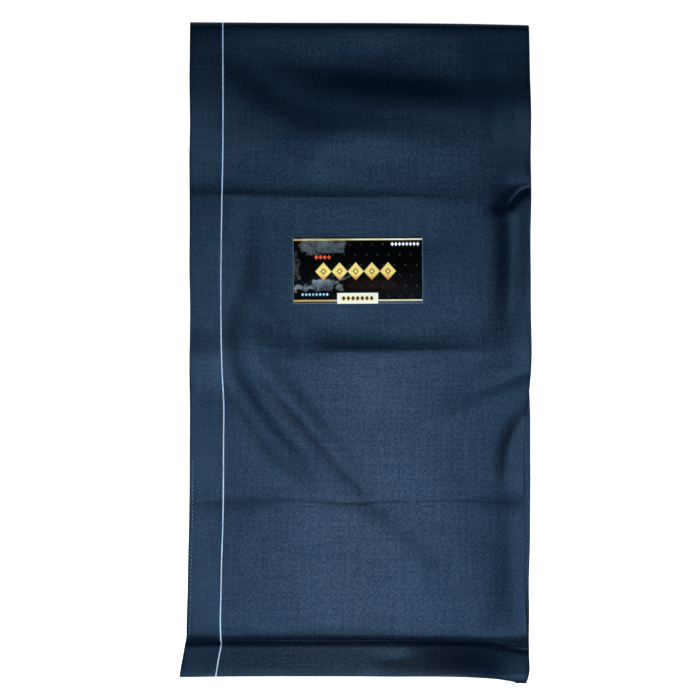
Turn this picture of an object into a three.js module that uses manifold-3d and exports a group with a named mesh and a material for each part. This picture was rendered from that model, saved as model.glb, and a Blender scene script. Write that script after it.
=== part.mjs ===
// A new tubular sarong in its sale fold, lying flat, with a glossy sticker on its face.
//
// The woven tube is 1100 mm wide when flattened and 1200 mm high. It is pleated in
// quarters across its height, which gives a strip 300 mm wide and eight layers thick,
// and that strip is then doubled once, so that sixteen layers lie on each other.
// The rounded turn of that last fold is at the rear. The free ends are at the front,
// where the lower half reaches past the upper half and shows as a narrow band.
//
// Units are millimetres. +X is right, +Y is rear, +Z is up, and the cloth lies on Z = 0.
// Each wall below stands for two plies of cloth pressed together, as the flattened
// tube has them.

import * as THREE from "three";
import { mergeVertices } from "three/addons/utils/BufferGeometryUtils.js";
import Module from "manifold-3d";

const wasm = await Module();
wasm.setup();

// ---- Driving sizes ----

const PLIES = 1.0; // thickness of one pair of plies
const GAP = 0.3; // air between stretches that lie on each other
const BITE = 0.15; // how far the hidden layers run into each other, which joins them
const TURN_DEPTH = 5.2; // from the start of the rear turn to its outermost point
const TURN_STEPS = 8; // flat facets round the rear turn
const GRID = 28; // largest spacing of the facets along and across the face
const RIM = 0.9; // width of the softened edge of a layer
const RIM_DROP = 0.28; // how far the softened edge leans in, above and below
const BAND_REAR = -222; // how far the band's sheet runs in under the upper half
const ACROSS_STOPS = [-146, 107, 116, 125, 153]; // the sides, and the hollow along the right

const CLOTH_COLOR = 0x1f3145;
const LABEL_COLOR = 0x0d0f14;

// Sides of the upper half, from rear to front. "face" is the right edge of the top
// sheet, which stands back from the layers under it along part of the length.
const UPPER_SIDES = [
  { y: 291.4, left: -145.3, right: 153.2, face: 153.2 },
  { y: 240, left: -145.7, right: 154.2, face: 154.2 },
  { y: 160, left: -145.9, right: 154.9, face: 154.9 },
  { y: 80, left: -145.9, right: 154.4, face: 154.4 },
  { y: -25, left: -145.9, right: 153.8, face: 153.8 },
  { y: -60, left: -145.9, right: 154.1, face: 150.0 },
  { y: -130, left: -146.4, right: 154.9, face: 149.6 },
  { y: -165, left: -146.9, right: 154.2, face: 149.9 },
  { y: -200, left: -147.6, right: 153.5, face: 150.6 },
  { y: -235, left: -148.5, right: 153.3, face: 152.4 },
  { y: -262, left: -149.2, right: 153.3, face: 153.0 },
];

// Sides of the lower half, whose front left corner spreads out.
const LOWER_SIDES = [
  { y: 291.4, left: -145.3, right: 153.2 },
  { y: 240, left: -145.7, right: 153.0 },
  { y: -200, left: -146.4, right: 152.8 },
  { y: -240, left: -147.8, right: 153.0 },
  { y: -266, left: -151.6, right: 153.3 },
  { y: -284.9, left: -154.9, right: 152.9 },
  { y: -291.4, left: -154.9, right: 150.8 },
];

// Outermost line of the rear turn, from left to right.
const REAR_EDGE = [
  { x: -146, y: 291.4 },
  { x: -48, y: 290.9 },
  { x: 40, y: 290.6 },
  { x: 111, y: 289.8 },
  { x: 154, y: 288.8 },
];

// Front edge of the upper half, which forms the step.
const STEP_EDGE = [
  { x: -148, y: -255.9 },
  { x: -110, y: -254.4 },
  { x: -80, y: -253.6 },
  { x: 40, y: -253.6 },
  { x: 110, y: -255.3 },
  { x: 136, y: -257.2 },
  { x: 153, y: -260.4 },
];

// Front edge of the lower half, whose right corner reaches furthest.
const FRONT_EDGE = [
  { x: -155, y: -285.6 },
  { x: -112, y: -284.9 },
  { x: 34, y: -284.9 },
  { x: 111, y: -285.8 },
  { x: 127, y: -287.2 },
  { x: 151, y: -291.4 },
];

// Height of the face above the ground, with the springy roll over the rear turn.
const FACE_HEIGHTS = [
  { y: 290, z: 11.6 },
  { y: 268, z: 11.2 },
  { y: 205, z: 10.0 },
  { y: 70, z: 9.9 },
  { y: -130, z: 9.8 },
  { y: -230, z: 9.6 },
  { y: -262, z: 8.9 },
];

// Height of the lower half: pressed thin under the step, and loose in front of it.
const LOWER_HEIGHTS = [
  { y: 290, z: 5.9 },
  { y: 205, z: 5.1 },
  { y: -200, z: 5.0 },
  { y: -240, z: 4.4 },
  { y: -256, z: 4.1 },
  { y: -270, z: 4.9 },
  { y: -281, z: 5.0 },
  { y: -292, z: 4.7 },
];

// Largest hollows of the face, each along a line, with how far it spreads to each side.
const FACE_HOLLOWS = [
  { name: "behind the roll", x0: -145, y0: 258, x1: 145, y1: 231, spread: 19, depth: 1.5 },
  { name: "behind the roll, left", x0: -95, y0: 236, x1: -50, y1: 216, spread: 17, depth: 0.6 },
  { name: "right, along", x0: 115, y0: 145, x1: 117, y1: 20, spread: 9, depth: 0.9 },
  { name: "right, pinch", x0: 154, y0: 144, x1: 128, y1: 131, spread: 6, depth: 0.8 },
  { name: "right, slanting", x0: 149, y0: -16, x1: 66, y1: -55, spread: 9, depth: 0.6 },
  { name: "left slant", x0: -106, y0: -15, x1: -49, y1: -107, spread: 12, depth: 0.7 },
  { name: "middle slant", x0: -79, y0: -20, x1: 8, y1: -122, spread: 12, depth: 0.7 },
  { name: "front slant", x0: -5, y0: -130, x1: 83, y1: -204, spread: 13, depth: 0.6 },
];

// Straight creases across the face, left by folding the sarong into its packet.
const FACE_CREASES = [
  { y: 141, spread: 9, depth: 0.35 },
  { y: 1, spread: 9, depth: 0.55 },
  { y: -130, spread: 9, depth: 0.6 },
  { y: -176, spread: 9, depth: 0.3 },
];

const BAND_HOLLOWS = [
  { name: "right of the middle", x0: 50, y0: -259, x1: 112, y1: -264, spread: 11, depth: 0.7 },
];

// Hidden layers from the ground up. "front" is how far each stands back from the front
// edge of its half, "left" and "right" how far from its sides.
const HIDDEN_LAYERS = [
  { half: "lower", from: 0, to: 0.5, front: 1.6, left: 0.9, right: 1.5 },
  { half: "lower", from: 0.5, to: 1, front: 3.0, left: 2.4, right: 0.7 },
  { half: "upper", from: 0, to: 0.34, front: 4.2, left: 1.9, right: 0.4 },
  { half: "upper", from: 0.34, to: 0.67, front: 1.4, left: 0.6, right: 1.6 },
  { half: "upper", from: 0.67, to: 1, front: 2.6, left: 1.5, right: 0 },
];

// Where the sticker lies on the face, and its size.
const LABEL = { x: 2.3, y: 72.5, width: 114.4, height: 57.2, turn: 0.006, thickness: 0.4 };

// ---- Reading the tables ----

// Value of a column at a place between two rows, in a straight line from one to the next.
function between(rows, key, at, column) {
  const rising = rows[0][key] < rows[rows.length - 1][key] ? 1 : -1;
  const last = rows.length - 1;
  if ((at - rows[0][key]) * rising <= 0) return rows[0][column];
  if ((at - rows[last][key]) * rising >= 0) return rows[last][column];
  const i = rows.findIndex((row) => (row[key] - at) * rising > 0) - 1;
  const share = (at - rows[i][key]) / (rows[i + 1][key] - rows[i][key]);
  return THREE.MathUtils.lerp(rows[i][column], rows[i + 1][column], share);
}

// Depth at a place of hollows that each follow a line and fade out to all sides.
function hollowDepth(hollows, x, y) {
  const place = new THREE.Vector3(x, y, 0);
  const nearest = new THREE.Vector3();
  let depth = 0;
  for (const h of hollows) {
    const line = new THREE.Line3(new THREE.Vector3(h.x0, h.y0, 0), new THREE.Vector3(h.x1, h.y1, 0));
    line.closestPointToPoint(place, true, nearest);
    depth += h.depth * Math.exp(-((place.distanceTo(nearest) / h.spread) ** 2));
  }
  return depth;
}

function creaseDepth(y) {
  return FACE_CREASES.reduce((sum, c) => sum + c.depth * Math.exp(-(((y - c.y) / c.spread) ** 2)), 0);
}

const rearEdge = (x) => between(REAR_EDGE, "x", x, "y");
const turnStart = (x) => rearEdge(x) - TURN_DEPTH;
const stepEdge = (x) => between(STEP_EDGE, "x", x, "y");
const frontEdge = (x) => between(FRONT_EDGE, "x", x, "y");
const upperSide = (y, side) => between(UPPER_SIDES, "y", y, side);
const lowerSide = (y, side) => between(LOWER_SIDES, "y", y, side);

// Top of the top sheet.
function faceTop(x, y) {
  return between(FACE_HEIGHTS, "y", y, "z") - hollowDepth(FACE_HOLLOWS, x, y) - creaseDepth(y);
}

// Top of the lower half, which shows as the band in front of the step.
function lowerTop(x, y) {
  return between(LOWER_HEIGHTS, "y", y, "z") - hollowDepth(BAND_HOLLOWS, x, y);
}

// ---- Building solids ----

// The given stops, but without the first and last, and evenly spaced values between them
// wherever they are further apart than GRID.
function linesThrough(stops) {
  const lines = stops.slice(1).flatMap((to, i) => {
    const from = stops[i];
    const count = Math.ceil(Math.abs(to - from) / GRID);
    return Array.from({ length: count }, (_, k) => THREE.MathUtils.lerp(from, to, (k + 1) / count));
  });
  return lines.slice(0, -1);
}

// Lines of the facets that all layers share, so that they follow each other closely.
const CREASE_STOPS = FACE_CREASES.flatMap(({ y, spread }) => [y + spread, y, y - spread]);
const BAND_STOPS = LOWER_HEIGHTS.map((row) => row.y).filter((y) => y < BAND_REAR);
const ALONG = linesThrough([turnStart(0), ...CREASE_STOPS, BAND_REAR, ...BAND_STOPS]);
const ACROSS = linesThrough(ACROSS_STOPS);

// Closed solid between two grids of points, the first of which lies above or outside.
function solidBetween(outer, inner) {
  const rows = outer.length;
  const columns = outer[0].length;
  const corner = (grid, r, c) => (grid * rows + r) * columns + c;
  const index = [];
  const quad = (a, b, c, d) => index.push(a, b, c, a, c, d);
  for (let r = 0; r + 1 < rows; r += 1) {
    for (let c = 0; c + 1 < columns; c += 1) {
      quad(corner(0, r, c), corner(0, r + 1, c), corner(0, r + 1, c + 1), corner(0, r, c + 1));
      quad(corner(1, r, c), corner(1, r, c + 1), corner(1, r + 1, c + 1), corner(1, r + 1, c));
    }
    const end = columns - 1;
    quad(corner(0, r, 0), corner(1, r, 0), corner(1, r + 1, 0), corner(0, r + 1, 0));
    quad(corner(0, r, end), corner(0, r + 1, end), corner(1, r + 1, end), corner(1, r, end));
  }
  for (let c = 0; c + 1 < columns; c += 1) {
    const end = rows - 1;
    quad(corner(0, 0, c), corner(0, 0, c + 1), corner(1, 0, c + 1), corner(1, 0, c));
    quad(corner(0, end, c), corner(1, end, c), corner(1, end, c + 1), corner(0, end, c + 1));
  }
  const points = [...outer, ...inner].flat().flatMap((p) => [p.x, p.y, p.z]);
  const geometry = new THREE.BufferGeometry();
  geometry.setAttribute("position", new THREE.Float32BufferAttribute(points, 3));
  geometry.setIndex(index);
  geometry.computeVertexNormals();
  return geometry;
}

// A layer that lies flat: its four edges, its top and its bottom are functions of the
// place. Free edges are softened, and edges that run on into another stretch are not.
function layer({ left, right, rear, front, top, bottom, softRear = true, across = ACROSS, along = ALONG }) {
  const rearLines = softRear ? [0, RIM] : [0];
  const inside = along.filter((y) => y < rear(0) - 2 * RIM && y > front(0) + 2 * RIM);
  const lines = [
    ...rearLines.map((inset) => ({ edge: rear, inset: -inset })),
    ...inside.map((y) => ({ y })),
    { edge: front, inset: RIM },
    { edge: front, inset: 0 },
  ];
  const columns = [
    { edge: left, inset: 0 },
    { edge: left, inset: RIM },
    ...across.map((x) => ({ x })),
    { edge: right, inset: -RIM },
    { edge: right, inset: 0 },
  ];
  const grid = (height, lean) =>
    lines.map((line, r) =>
      columns.map((column, c) => {
        const roughY = line.edge ? line.edge(0) : line.y;
        const roughX = column.edge ? column.edge(roughY) : column.x;
        const y = line.edge ? line.edge(roughX) + line.inset : line.y;
        const x = column.edge ? column.edge(y) + column.inset : column.x;
        const atRear = softRear && r === 0;
        const atRim = atRear || r === lines.length - 1 || c === 0 || c === columns.length - 1;
        return new THREE.Vector3(x, y, height(x, y) + (atRim ? lean : 0));
      }),
    );
  return solidBetween(grid(top, -RIM_DROP), grid(bottom, RIM_DROP));
}

function toManifold(geometry) {
  const bare = geometry.clone();
  bare.deleteAttribute("normal");
  bare.deleteAttribute("uv");
  const merged = mergeVertices(bare);
  const vertProperties = new Float32Array(merged.attributes.position.array);
  const triVerts = new Uint32Array(merged.index.array);
  return new wasm.Manifold(new wasm.Mesh({ numProp: 3, vertProperties, triVerts }));
}

function fromManifold(solid) {
  const mesh = solid.getMesh();
  const geometry = new THREE.BufferGeometry();
  geometry.setAttribute("position", new THREE.Float32BufferAttribute(mesh.vertProperties, 3));
  geometry.setIndex(Array.from(mesh.triVerts));
  geometry.computeVertexNormals();
  return geometry;
}

// ---- The stretches of cloth ----

function faceSheet() {
  return layer({
    left: (y) => upperSide(y, "left"),
    right: (y) => upperSide(y, "face"),
    rear: (x) => turnStart(x) - GAP,
    front: stepEdge,
    top: faceTop,
    bottom: (x, y) => faceTop(x, y) - PLIES,
    softRear: false,
  });
}

// The outermost plies, turning from the face down to the underside.
function rearFold() {
  const ends = [upperSide(REAR_EDGE[0].y, "left"), upperSide(REAR_EDGE[0].y, "right")];
  const columns = [ends[0], ...ACROSS, ends[1]];
  const shell = (inset) =>
    Array.from({ length: TURN_STEPS + 1 }, (_, step) => {
      const angle = Math.PI * (step / TURN_STEPS - 0.5);
      return columns.map((x) => {
        const half = faceTop(x, turnStart(x)) / 2;
        const y = turnStart(x) + (TURN_DEPTH - inset) * Math.cos(angle);
        return new THREE.Vector3(x, y, half + (half - inset) * Math.sin(angle));
      });
    });
  return solidBetween(shell(0), shell(PLIES));
}

function underSheet() {
  return layer({
    left: (y) => lowerSide(y, "left") + RIM,
    right: (y) => lowerSide(y, "right") - RIM,
    rear: (x) => turnStart(x) - GAP,
    front: (x) => frontEdge(x) + RIM,
    top: () => PLIES,
    bottom: () => 0,
    softRear: false,
    across: FRONT_EDGE.slice(1, -1).map((row) => row.x),
    along: LOWER_SIDES.map((row) => row.y),
  });
}

// The lower half's top plies, which come out from under the step.
function bandSheet() {
  return layer({
    left: (y) => lowerSide(y, "left"),
    right: (y) => lowerSide(y, "right"),
    rear: () => BAND_REAR,
    front: frontEdge,
    top: lowerTop,
    bottom: (x, y) => lowerTop(x, y) - PLIES,
  });
}

// Everything between those sheets, as one solid that is layered at its edges. The layers
// of each half run into each other, and a plain core joins the halves behind the band's sheet.
function hiddenLayers() {
  const levels = {
    lower: {
      floor: () => PLIES + GAP,
      roof: (x, y) => lowerTop(x, y) - PLIES - GAP,
      side: lowerSide,
      front: frontEdge,
    },
    upper: {
      floor: (x, y) => lowerTop(x, y) + GAP,
      roof: (x, y) => faceTop(x, y) - PLIES - GAP,
      side: upperSide,
      front: stepEdge,
    },
  };
  const hidden = (row) => {
    const { floor, roof, side, front } = levels[row.half];
    const level = (share) => (x, y) => THREE.MathUtils.lerp(floor(x, y), roof(x, y), share);
    const bottom = level(row.from);
    const top = level(row.to);
    return layer({
      left: (y) => side(y, "left") + row.left,
      right: (y) => side(y, "right") - row.right,
      rear: (x) => turnStart(x),
      front: (x) => front(x) + row.front,
      top: (x, y) => top(x, y) + (row.to < 1 ? BITE : 0),
      bottom: (x, y) => bottom(x, y) - (row.from > 0 ? BITE : 0),
    });
  };
  const core = layer({
    left: (y) => lowerSide(y, "left") + HIDDEN_LAYERS[1].left,
    right: (y) => lowerSide(y, "right") - HIDDEN_LAYERS[1].right,
    rear: (x) => turnStart(x) + TURN_DEPTH - PLIES - 2 * GAP,
    front: () => BAND_REAR + GAP,
    top: (x, y) => levels.upper.floor(x, y) + BITE,
    bottom: (x, y) => levels.lower.roof(x, y) - BITE,
  });
  const solids = [...HIDDEN_LAYERS.map(hidden), core].map(toManifold);
  return fromManifold(solids.reduce((whole, solid) => whole.add(solid)));
}

// The sticker follows the face under it, just clear of the cloth.
function label() {
  const { x: midX, y: midY, width, height, turn, thickness } = LABEL;
  const columns = 8;
  const lines = 4;
  const shell = (raise) =>
    Array.from({ length: lines + 1 }, (_, r) =>
      Array.from({ length: columns + 1 }, (_, c) => {
        const across = (c / columns - 0.5) * width;
        const along = (0.5 - r / lines) * height;
        const x = midX + across * Math.cos(turn) - along * Math.sin(turn);
        const y = midY + across * Math.sin(turn) + along * Math.cos(turn);
        return new THREE.Vector3(x, y, faceTop(x, y) + raise);
      }),
    );
  return solidBetween(shell(GAP + thickness), shell(GAP));
}

// ---- The object ----

const cloth = () => new THREE.MeshStandardMaterial({ color: CLOTH_COLOR, roughness: 0.8, metalness: 0 });
const film = () => new THREE.MeshStandardMaterial({ color: LABEL_COLOR, roughness: 0.15, metalness: 0 });

const PIECES = [
  { name: "face_sheet", geometry: faceSheet(), material: cloth() },
  { name: "rear_fold", geometry: rearFold(), material: cloth() },
  { name: "under_sheet", geometry: underSheet(), material: cloth() },
  { name: "band_sheet", geometry: bandSheet(), material: cloth() },
  { name: "hidden_layers", geometry: hiddenLayers(), material: cloth() },
  { name: "label", geometry: label(), material: film() },
];

const sarong = new THREE.Group();
for (const { name, geometry, material } of PIECES) {
  const mesh = new THREE.Mesh(geometry, material);
  mesh.name = name;
  sarong.add(mesh);
}

export default sarong;
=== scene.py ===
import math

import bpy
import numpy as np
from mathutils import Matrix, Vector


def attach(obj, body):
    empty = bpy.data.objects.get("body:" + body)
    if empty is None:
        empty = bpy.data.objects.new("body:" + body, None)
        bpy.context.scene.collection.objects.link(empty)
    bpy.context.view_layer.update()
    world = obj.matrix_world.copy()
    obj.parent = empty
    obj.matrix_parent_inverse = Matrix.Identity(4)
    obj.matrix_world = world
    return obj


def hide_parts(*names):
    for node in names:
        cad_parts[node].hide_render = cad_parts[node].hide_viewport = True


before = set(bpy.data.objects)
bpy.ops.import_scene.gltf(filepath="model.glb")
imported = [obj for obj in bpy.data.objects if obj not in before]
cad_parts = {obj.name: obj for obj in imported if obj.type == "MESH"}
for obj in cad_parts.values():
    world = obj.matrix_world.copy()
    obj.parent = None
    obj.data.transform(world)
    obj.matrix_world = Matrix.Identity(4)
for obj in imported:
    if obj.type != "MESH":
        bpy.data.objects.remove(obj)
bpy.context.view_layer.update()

# A new tubular sarong in its sale fold, lying flat, with a glossy sticker on its face.
#
# The tube is pleated in quarters across its height and the strip is then doubled, so
# each half of the pile is four panels of two plies. From the outside in these are panel
# one, which is the face and the underside, panels two and three, and panel four, whose
# lower half shows as the band in front of the step. Sizes are millimetres unless they
# are handed to Blender. +X is right, +Y rear and +Z up.

MM = 0.001


# ---------------------------------------------------------------- tables and sizes

def table(columns, rows):
    """A table with named columns, its rows in rising order of the first column."""
    names = columns.split()
    values = np.array(sorted(rows), float)
    return {name: values[:, i] for i, name in enumerate(names)}


UPPER_SIDES = table("y left right face", [
    (291.4, -145.3, 153.2, 153.2),
    (240, -145.7, 154.2, 154.2),
    (160, -145.9, 154.9, 154.9),
    (80, -145.9, 154.4, 154.4),
    (-25, -145.9, 153.8, 153.8),
    (-60, -145.9, 154.1, 150.0),
    (-130, -146.4, 154.9, 149.6),
    (-165, -146.9, 154.2, 149.9),
    (-200, -147.6, 153.5, 150.6),
    (-235, -148.5, 153.3, 152.4),
    (-262, -149.2, 153.3, 153.0),
])

LOWER_SIDES = table("y left right", [
    (291.4, -145.3, 153.2),
    (240, -145.7, 153.0),
    (-200, -146.4, 152.8),
    (-240, -147.8, 153.0),
    (-266, -151.6, 153.3),
    (-284.9, -154.9, 152.9),
    (-291.4, -155.2, 150.8),
])

REAR_EDGE = table("x y", [
    (-146, 291.4), (-48, 290.9), (40, 290.6), (111, 289.8), (154, 288.8),
])

STEP_EDGE = table("x y", [
    (-148, -255.9), (-110, -254.4), (-80, -253.6), (40, -253.6), (110, -255.3), (136, -257.2),
    (153, -260.4),
])

FRONT_EDGE = table("x y", [
    (-155, -286.0), (-112, -285.5), (34, -285.5), (111, -286.3), (127, -287.5), (151, -291.4),
])

FACE_HEIGHTS = table("y z", [
    (290, 9.4), (283, 9.8), (270, 10.1), (255, 10.5), (240, 10.9), (225, 11.2), (205, 11.3),
    (188, 11.1), (172, 10.6), (150, 10.0), (130, 9.9), (60, 9.5), (20, 9.3), (2, 9.7), (-30, 9.2),
    (-120, 9.1), (-135, 9.1), (-215, 9.3), (-233, 9.3), (-244, 9.15), (-250, 8.6), (-255, 7.5),
    (-262, 6.0),
])

LOWER_HEIGHTS = table("y z", [
    (290, 5.7), (205, 5.1), (170, 5.1), (0, 5.1), (-160, 5.1), (-180, 5.1), (-200, 4.9), (-235, 2.9),
    (-250, 1.1), (-254, 1.3), (-258.5, 2.6), (-263, 3.2), (-272, 4.4), (-280, 5.4), (-286, 5.9),
    (-292, 5.5),
])

# Where the pale border stripe runs, on the face and on the band.
FACE_STRIPE = table("y x", [
    (290, -116.6), (173, -116.7), (134, -117.5), (0, -117.9), (-20, -117.3), (-40, -116.1),
    (-78, -116.1), (-156, -116.9), (-182, -117.8), (-214, -118.4), (-234, -118.9), (-258, -118.3),
])
BAND_STRIPE = table("y x", [
    (-200, -116.5), (-254, -117.8), (-274, -121.3), (-286, -123.1),
])

# The face's troughs, and with a negative depth its ridges. Each has its spread on the left
# and on the right of someone who walks along it, its softness, from 1 for a sharp crease to
# 2 for a round one, and its route as x, y and depth.
FACE_FOLDS = [
    ("rear hollow", 36, 17, 2, [
        (-80, 262, 0), (-44, 257, 1.6), (-4, 250, 2.7), (38, 246, 2.8), (80, 243, 1.9), (104, 241, 1.1),
        (123, 245, 1.3), (150, 243, 1.0), (180, 241, 1.0)]),
    ("rear hollow, left arm", 34, 17, 2, [
        (-122, 268, 0), (-108, 261, 1.0), (-94, 253, 1.6), (-78, 240, 1.9), (-62, 228, 1.9),
        (-46, 219, 1.4), (-26, 213, 0.7), (0, 208, 0)]),
    ("border swell", 8, 72, 2, [
        (-175, 292, -2.2), (-140, 292, -2.2), (-126, 291, -1.6), (-112, 289, -0.6), (-102, 287, 0)]),
    ("teal swell", 12, 20, 2, [(-52, 193, 0), (-26, 193, -0.35), (28, 190, -0.4), (58, 188, 0)]),
    ("rear streak", 8, 7, 2, [(106, 262, 0), (108, 246, -0.4), (108, 226, -0.4), (108, 205, 0)]),
    ("rear streak, right", 6, 8, 2, [
        (126, 262, 0), (123, 244, 0.5), (121, 222, 0.5), (120, 198, 0.3), (121, 178, 0)]),
    ("first crease", 4, 26, 1.4, [
        (-160, 138, -0.1), (-117, 139, -0.38), (-98, 139, -0.48), (-60, 138, -0.38), (-30, 137, -0.35),
        (30, 137, -0.33), (60, 137, -0.25), (80, 136, -0.15), (112, 135, -0.05)]),
    ("rise to the first crease", 30, 14, 2, [
        (-60, 100, 0), (-24, 100, 0.5), (20, 101, 0.8), (58, 100, 0.6), (92, 100, 0)]),
    ("left hollow", 11, 24, 2, [
        (-98, 128, 0), (-99, 112, 0.6), (-99, 88, 0.9), (-99, 68, 0.7), (-105, 52, 0.6),
        (-112, 38, 0.7), (-114, 10, 0.6), (-114, -20, 0.6), (-110, -44, 0.4), (-106, -60, 0)]),
    ("hollow under the sticker's left", 12, 14, 2, [
        (-112, 66, 0), (-98, 50, 0.5), (-84, 34, 0.8), (-70, 20, 0.9), (-60, 8, 0.5), (-54, -4, 0)]),
    ("swell beside it", 9, 9, 2, [(-92, 60, 0), (-74, 44, -0.4), (-56, 28, -0.4), (-44, 14, 0)]),
    ("second crease", 6.5, 30, 1.5, [
        (-150, -2, -0.03), (-117, -2, -0.06), (-95, 0, -0.15), (-66, 0.5, -0.15), (-50, 1, -0.15),
        (-36, 1, -0.25), (-20, 1, -0.75), (12, 1, -0.85), (50, 1, -0.75), (92, 1, -0.45),
        (122, 0, -0.25), (160, 0, -0.1)]),
    ("second crease, line", 1.4, 1.6, 1, [
        (-118, -2.2, 0.05), (-95, -0.4, 0.16), (-70, 0.5, 0.16), (-46, 1, 0.06), (0, 1, 0.06),
        (100, 1, 0.05)]),
    ("third crease", 1.3, 1.3, 1, [
        (-160, -131, 0.1), (-112, -130, 0.2), (-60, -129, 0.22), (-36, -131, 0.24), (4, -132.4, 0.34),
        (20, -131.8, 0.34), (40, -130.4, 0.22), (100, -130, 0.2), (160, -131, 0.2)]),
    ("fourth crease", 2.2, 6, 1, [
        (-112, -179, 0), (-75, -176, -0.1), (-20, -175, -0.1), (10, -176, 0)]),
    ("fourth crease, right", 2, 5, 1, [
        (44, -174, 0), (56, -175, -0.12), (66, -176, -0.06), (74, -182, 0)]),
    ("left valley", 11, 10, 2, [
        (-114, 0, 0), (-108, -18, 0.7), (-99, -38, 1.1), (-89, -56, 1.3), (-71, -79, 1.3),
        (-54, -99, 1.0), (-38, -120, 0)]),
    ("middle valley", 13, 10, 2, [
        (-98, 8, 0), (-86, -10, 0.9), (-70, -28, 1.2), (-51, -50, 1.3), (-25, -80, 1.2), (1, -109, 0.9),
        (20, -130, 0.4), (36, -150, 0)]),
    ("ridge beside it", 12, 12, 2, [
        (-72, 0, 0), (-50, -28, -0.2), (-26, -62, -0.25), (0, -92, -0.2), (18, -112, 0)]),
    ("front ridge", 9, 10, 2, [
        (-36, -122, 0), (-10, -142, -0.35), (17, -160, -0.4), (45, -176, -0.3), (76, -196, 0)]),
    ("front valley", 10, 8, 2, [(-12, -148, 0), (4, -162, 0.3), (22, -180, 0.35), (42, -198, 0)]),
    ("front valley, right", 11, 11, 2, [
        (30, -142, 0), (46, -156, 0.15), (62, -168, 0.2), (78, -184, 0.15), (94, -206, 0)]),
    ("dip at the third crease", 4, 7, 2, [
        (2, -134, 0), (14, -136, 0.35), (26, -136, 0.35), (38, -133, 0)]),
    ("dip at the third crease, left", 6, 8, 2, [
        (-165, -130, 0.4), (-118, -130, 0.5), (-100, -131, 0.55), (-80, -131, 0.4), (-64, -130, 0)]),
    ("dip at the third crease, right", 5, 8, 2, [
        (92, -130, 0), (116, -130, 0.3), (136, -130, 0.4), (160, -130, 0.4)]),
    ("pinch", 4, 6, 2, [
        (162, 146, 1.4), (150, 144.5, 1.8), (143, 142, 2.2), (138, 134, 2.1), (130, 128, 1.4),
        (118, 126, 0)]),
    ("hollow over the pinch", 12, 36, 2, [
        (168, 208, 0), (166, 188, 2.0), (163, 168, 3.4), (158, 154, 2.2), (154, 147, 0)]),
    ("hollow behind the first crease, left", 42, 10, 2, [
        (-154, 196, 0), (-153, 182, 0.6), (-152, 166, 1.2), (-152, 150, 0.9), (-152, 138, 0)]),
    ("right trough", 15, 12, 2, [
        (136, 168, 0), (135, 150, 1.0), (136, 134, 2.0), (138, 110, 2.4), (138, 75, 2.3),
        (137, 50, 1.8), (134, 28, 1.0), (131, 8, 0)]),
    ("right ray", 10, 19, 2, [
        (165, -8, 1.3), (150, -14, 1.5), (138, -20, 1.4), (124, -25, 1.1), (111, -29, 0.9),
        (100, -34, 0.7), (86, -42, 0.5), (66, -58, 0)]),
    ("lower right ray", 12, 8, 2, [
        (160, -44, 0.2), (151, -55, 0.8), (142, -68, 1.1), (137, -80, 1.1), (134, -94, 0.8),
        (134, -108, 0.3), (134, -124, 0)]),
    ("right front hollow", 14, 13, 2, [
        (134, -98, 0), (135, -118, 0.4), (137, -150, 0.45), (139, -180, 0.5), (139, -212, 0.5),
        (138, -238, 0.3), (138, -252, 0)]),
    ("left side falls away", 115, 20, 2, [
        (-185, 205, 0), (-185, 168, 2.2), (-185, 110, 2.6), (-185, 20, 2.9), (-185, -60, 3.0),
        (-185, -120, 3.4), (-185, -215, 4.0), (-185, -250, 3.6)]),
    ("right side falls away", 20, 85, 2, [
        (185, 20, 0), (185, -30, 1.8), (185, -110, 3.2), (185, -215, 4.4), (185, -250, 4.0)]),
    ("lifted lip", 12, 11, 2, [
        (30, -256, 0), (60, -256, -0.5), (100, -257, -0.8), (135, -259, -0.8), (160, -262, 0)]),
]

BAND_FOLDS = [
    ("dark dip", 8, 13, 2, [
        (40, -253, 0), (64, -254, 0.6), (90, -254, 0.75), (112, -255, 0.7), (130, -257, 0.2),
        (145, -260, 0)]),
    ("gap under the lip, right", 4, 3.5, 2, [
        (106, -256, 0), (124, -257, 0.5), (140, -260, 0.7), (152, -262, 0.7), (165, -266, 0.7)]),
    ("hollow left of the dip", 6, 7, 2, [
        (16, -271, 0), (30, -270, 0.5), (44, -270, 0.5), (56, -268, 0)]),
    ("front swell", 18, 8, 2, [
        (30, -286, 0), (52, -286, -1.0), (76, -286, -2.5), (100, -286, -3.0), (118, -286, -1.6),
        (130, -287, -0.4), (142, -288, 0)]),
]

TURN_DEPTH = 5.2  # from the start of the rear turn to its outermost point
HALF_GAP = 0.25  # between the two halves of the pile
PILE = 5.0  # usual thickness of half the pile, the unit of a depth share
PLY = 0.035  # half of a ply's thickness, as a depth share
FOLD = 0.24  # radius of a folded side, as a depth share
LIP = 0.115  # radius of a panel's front lip, as a depth share

STRAY = 0.3  # how far the sides and edges of a ply wander from their lines
TUCKED = (3.0, 9.0)  # how far a folded side or lip runs back under itself, at two places
STRAIGHTEN = 8  # how soon the rows straighten out away from a curved front or rear edge

LABEL = {"x": 2.3, "y": 72.5, "width": 114.4, "height": 58.4, "turn": 0.006, "thickness": 0.16, "lift": 0.5}

SEED = 11
WAVE = 60  # usual length of the gentle waves in the cloth and its edges


def curve(rows, key, at, column):
    """A table's column at some places, as a smooth curve through its rows."""
    k, v = rows[key], rows[column]
    slope = np.gradient(v, k)
    i = np.clip(np.searchsorted(k, at, side="right") - 1, 0, len(k) - 2)
    h = k[i + 1] - k[i]
    t = np.clip((at - k[i]) / h, 0, 1)
    a, b = v[i], v[i + 1]
    return (
        a * (2 * t**3 - 3 * t**2 + 1) + slope[i] * h * (t**3 - 2 * t**2 + t)
        + b * (3 * t**2 - 2 * t**3) + slope[i + 1] * h * (t**3 - t**2)
    )


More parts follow.
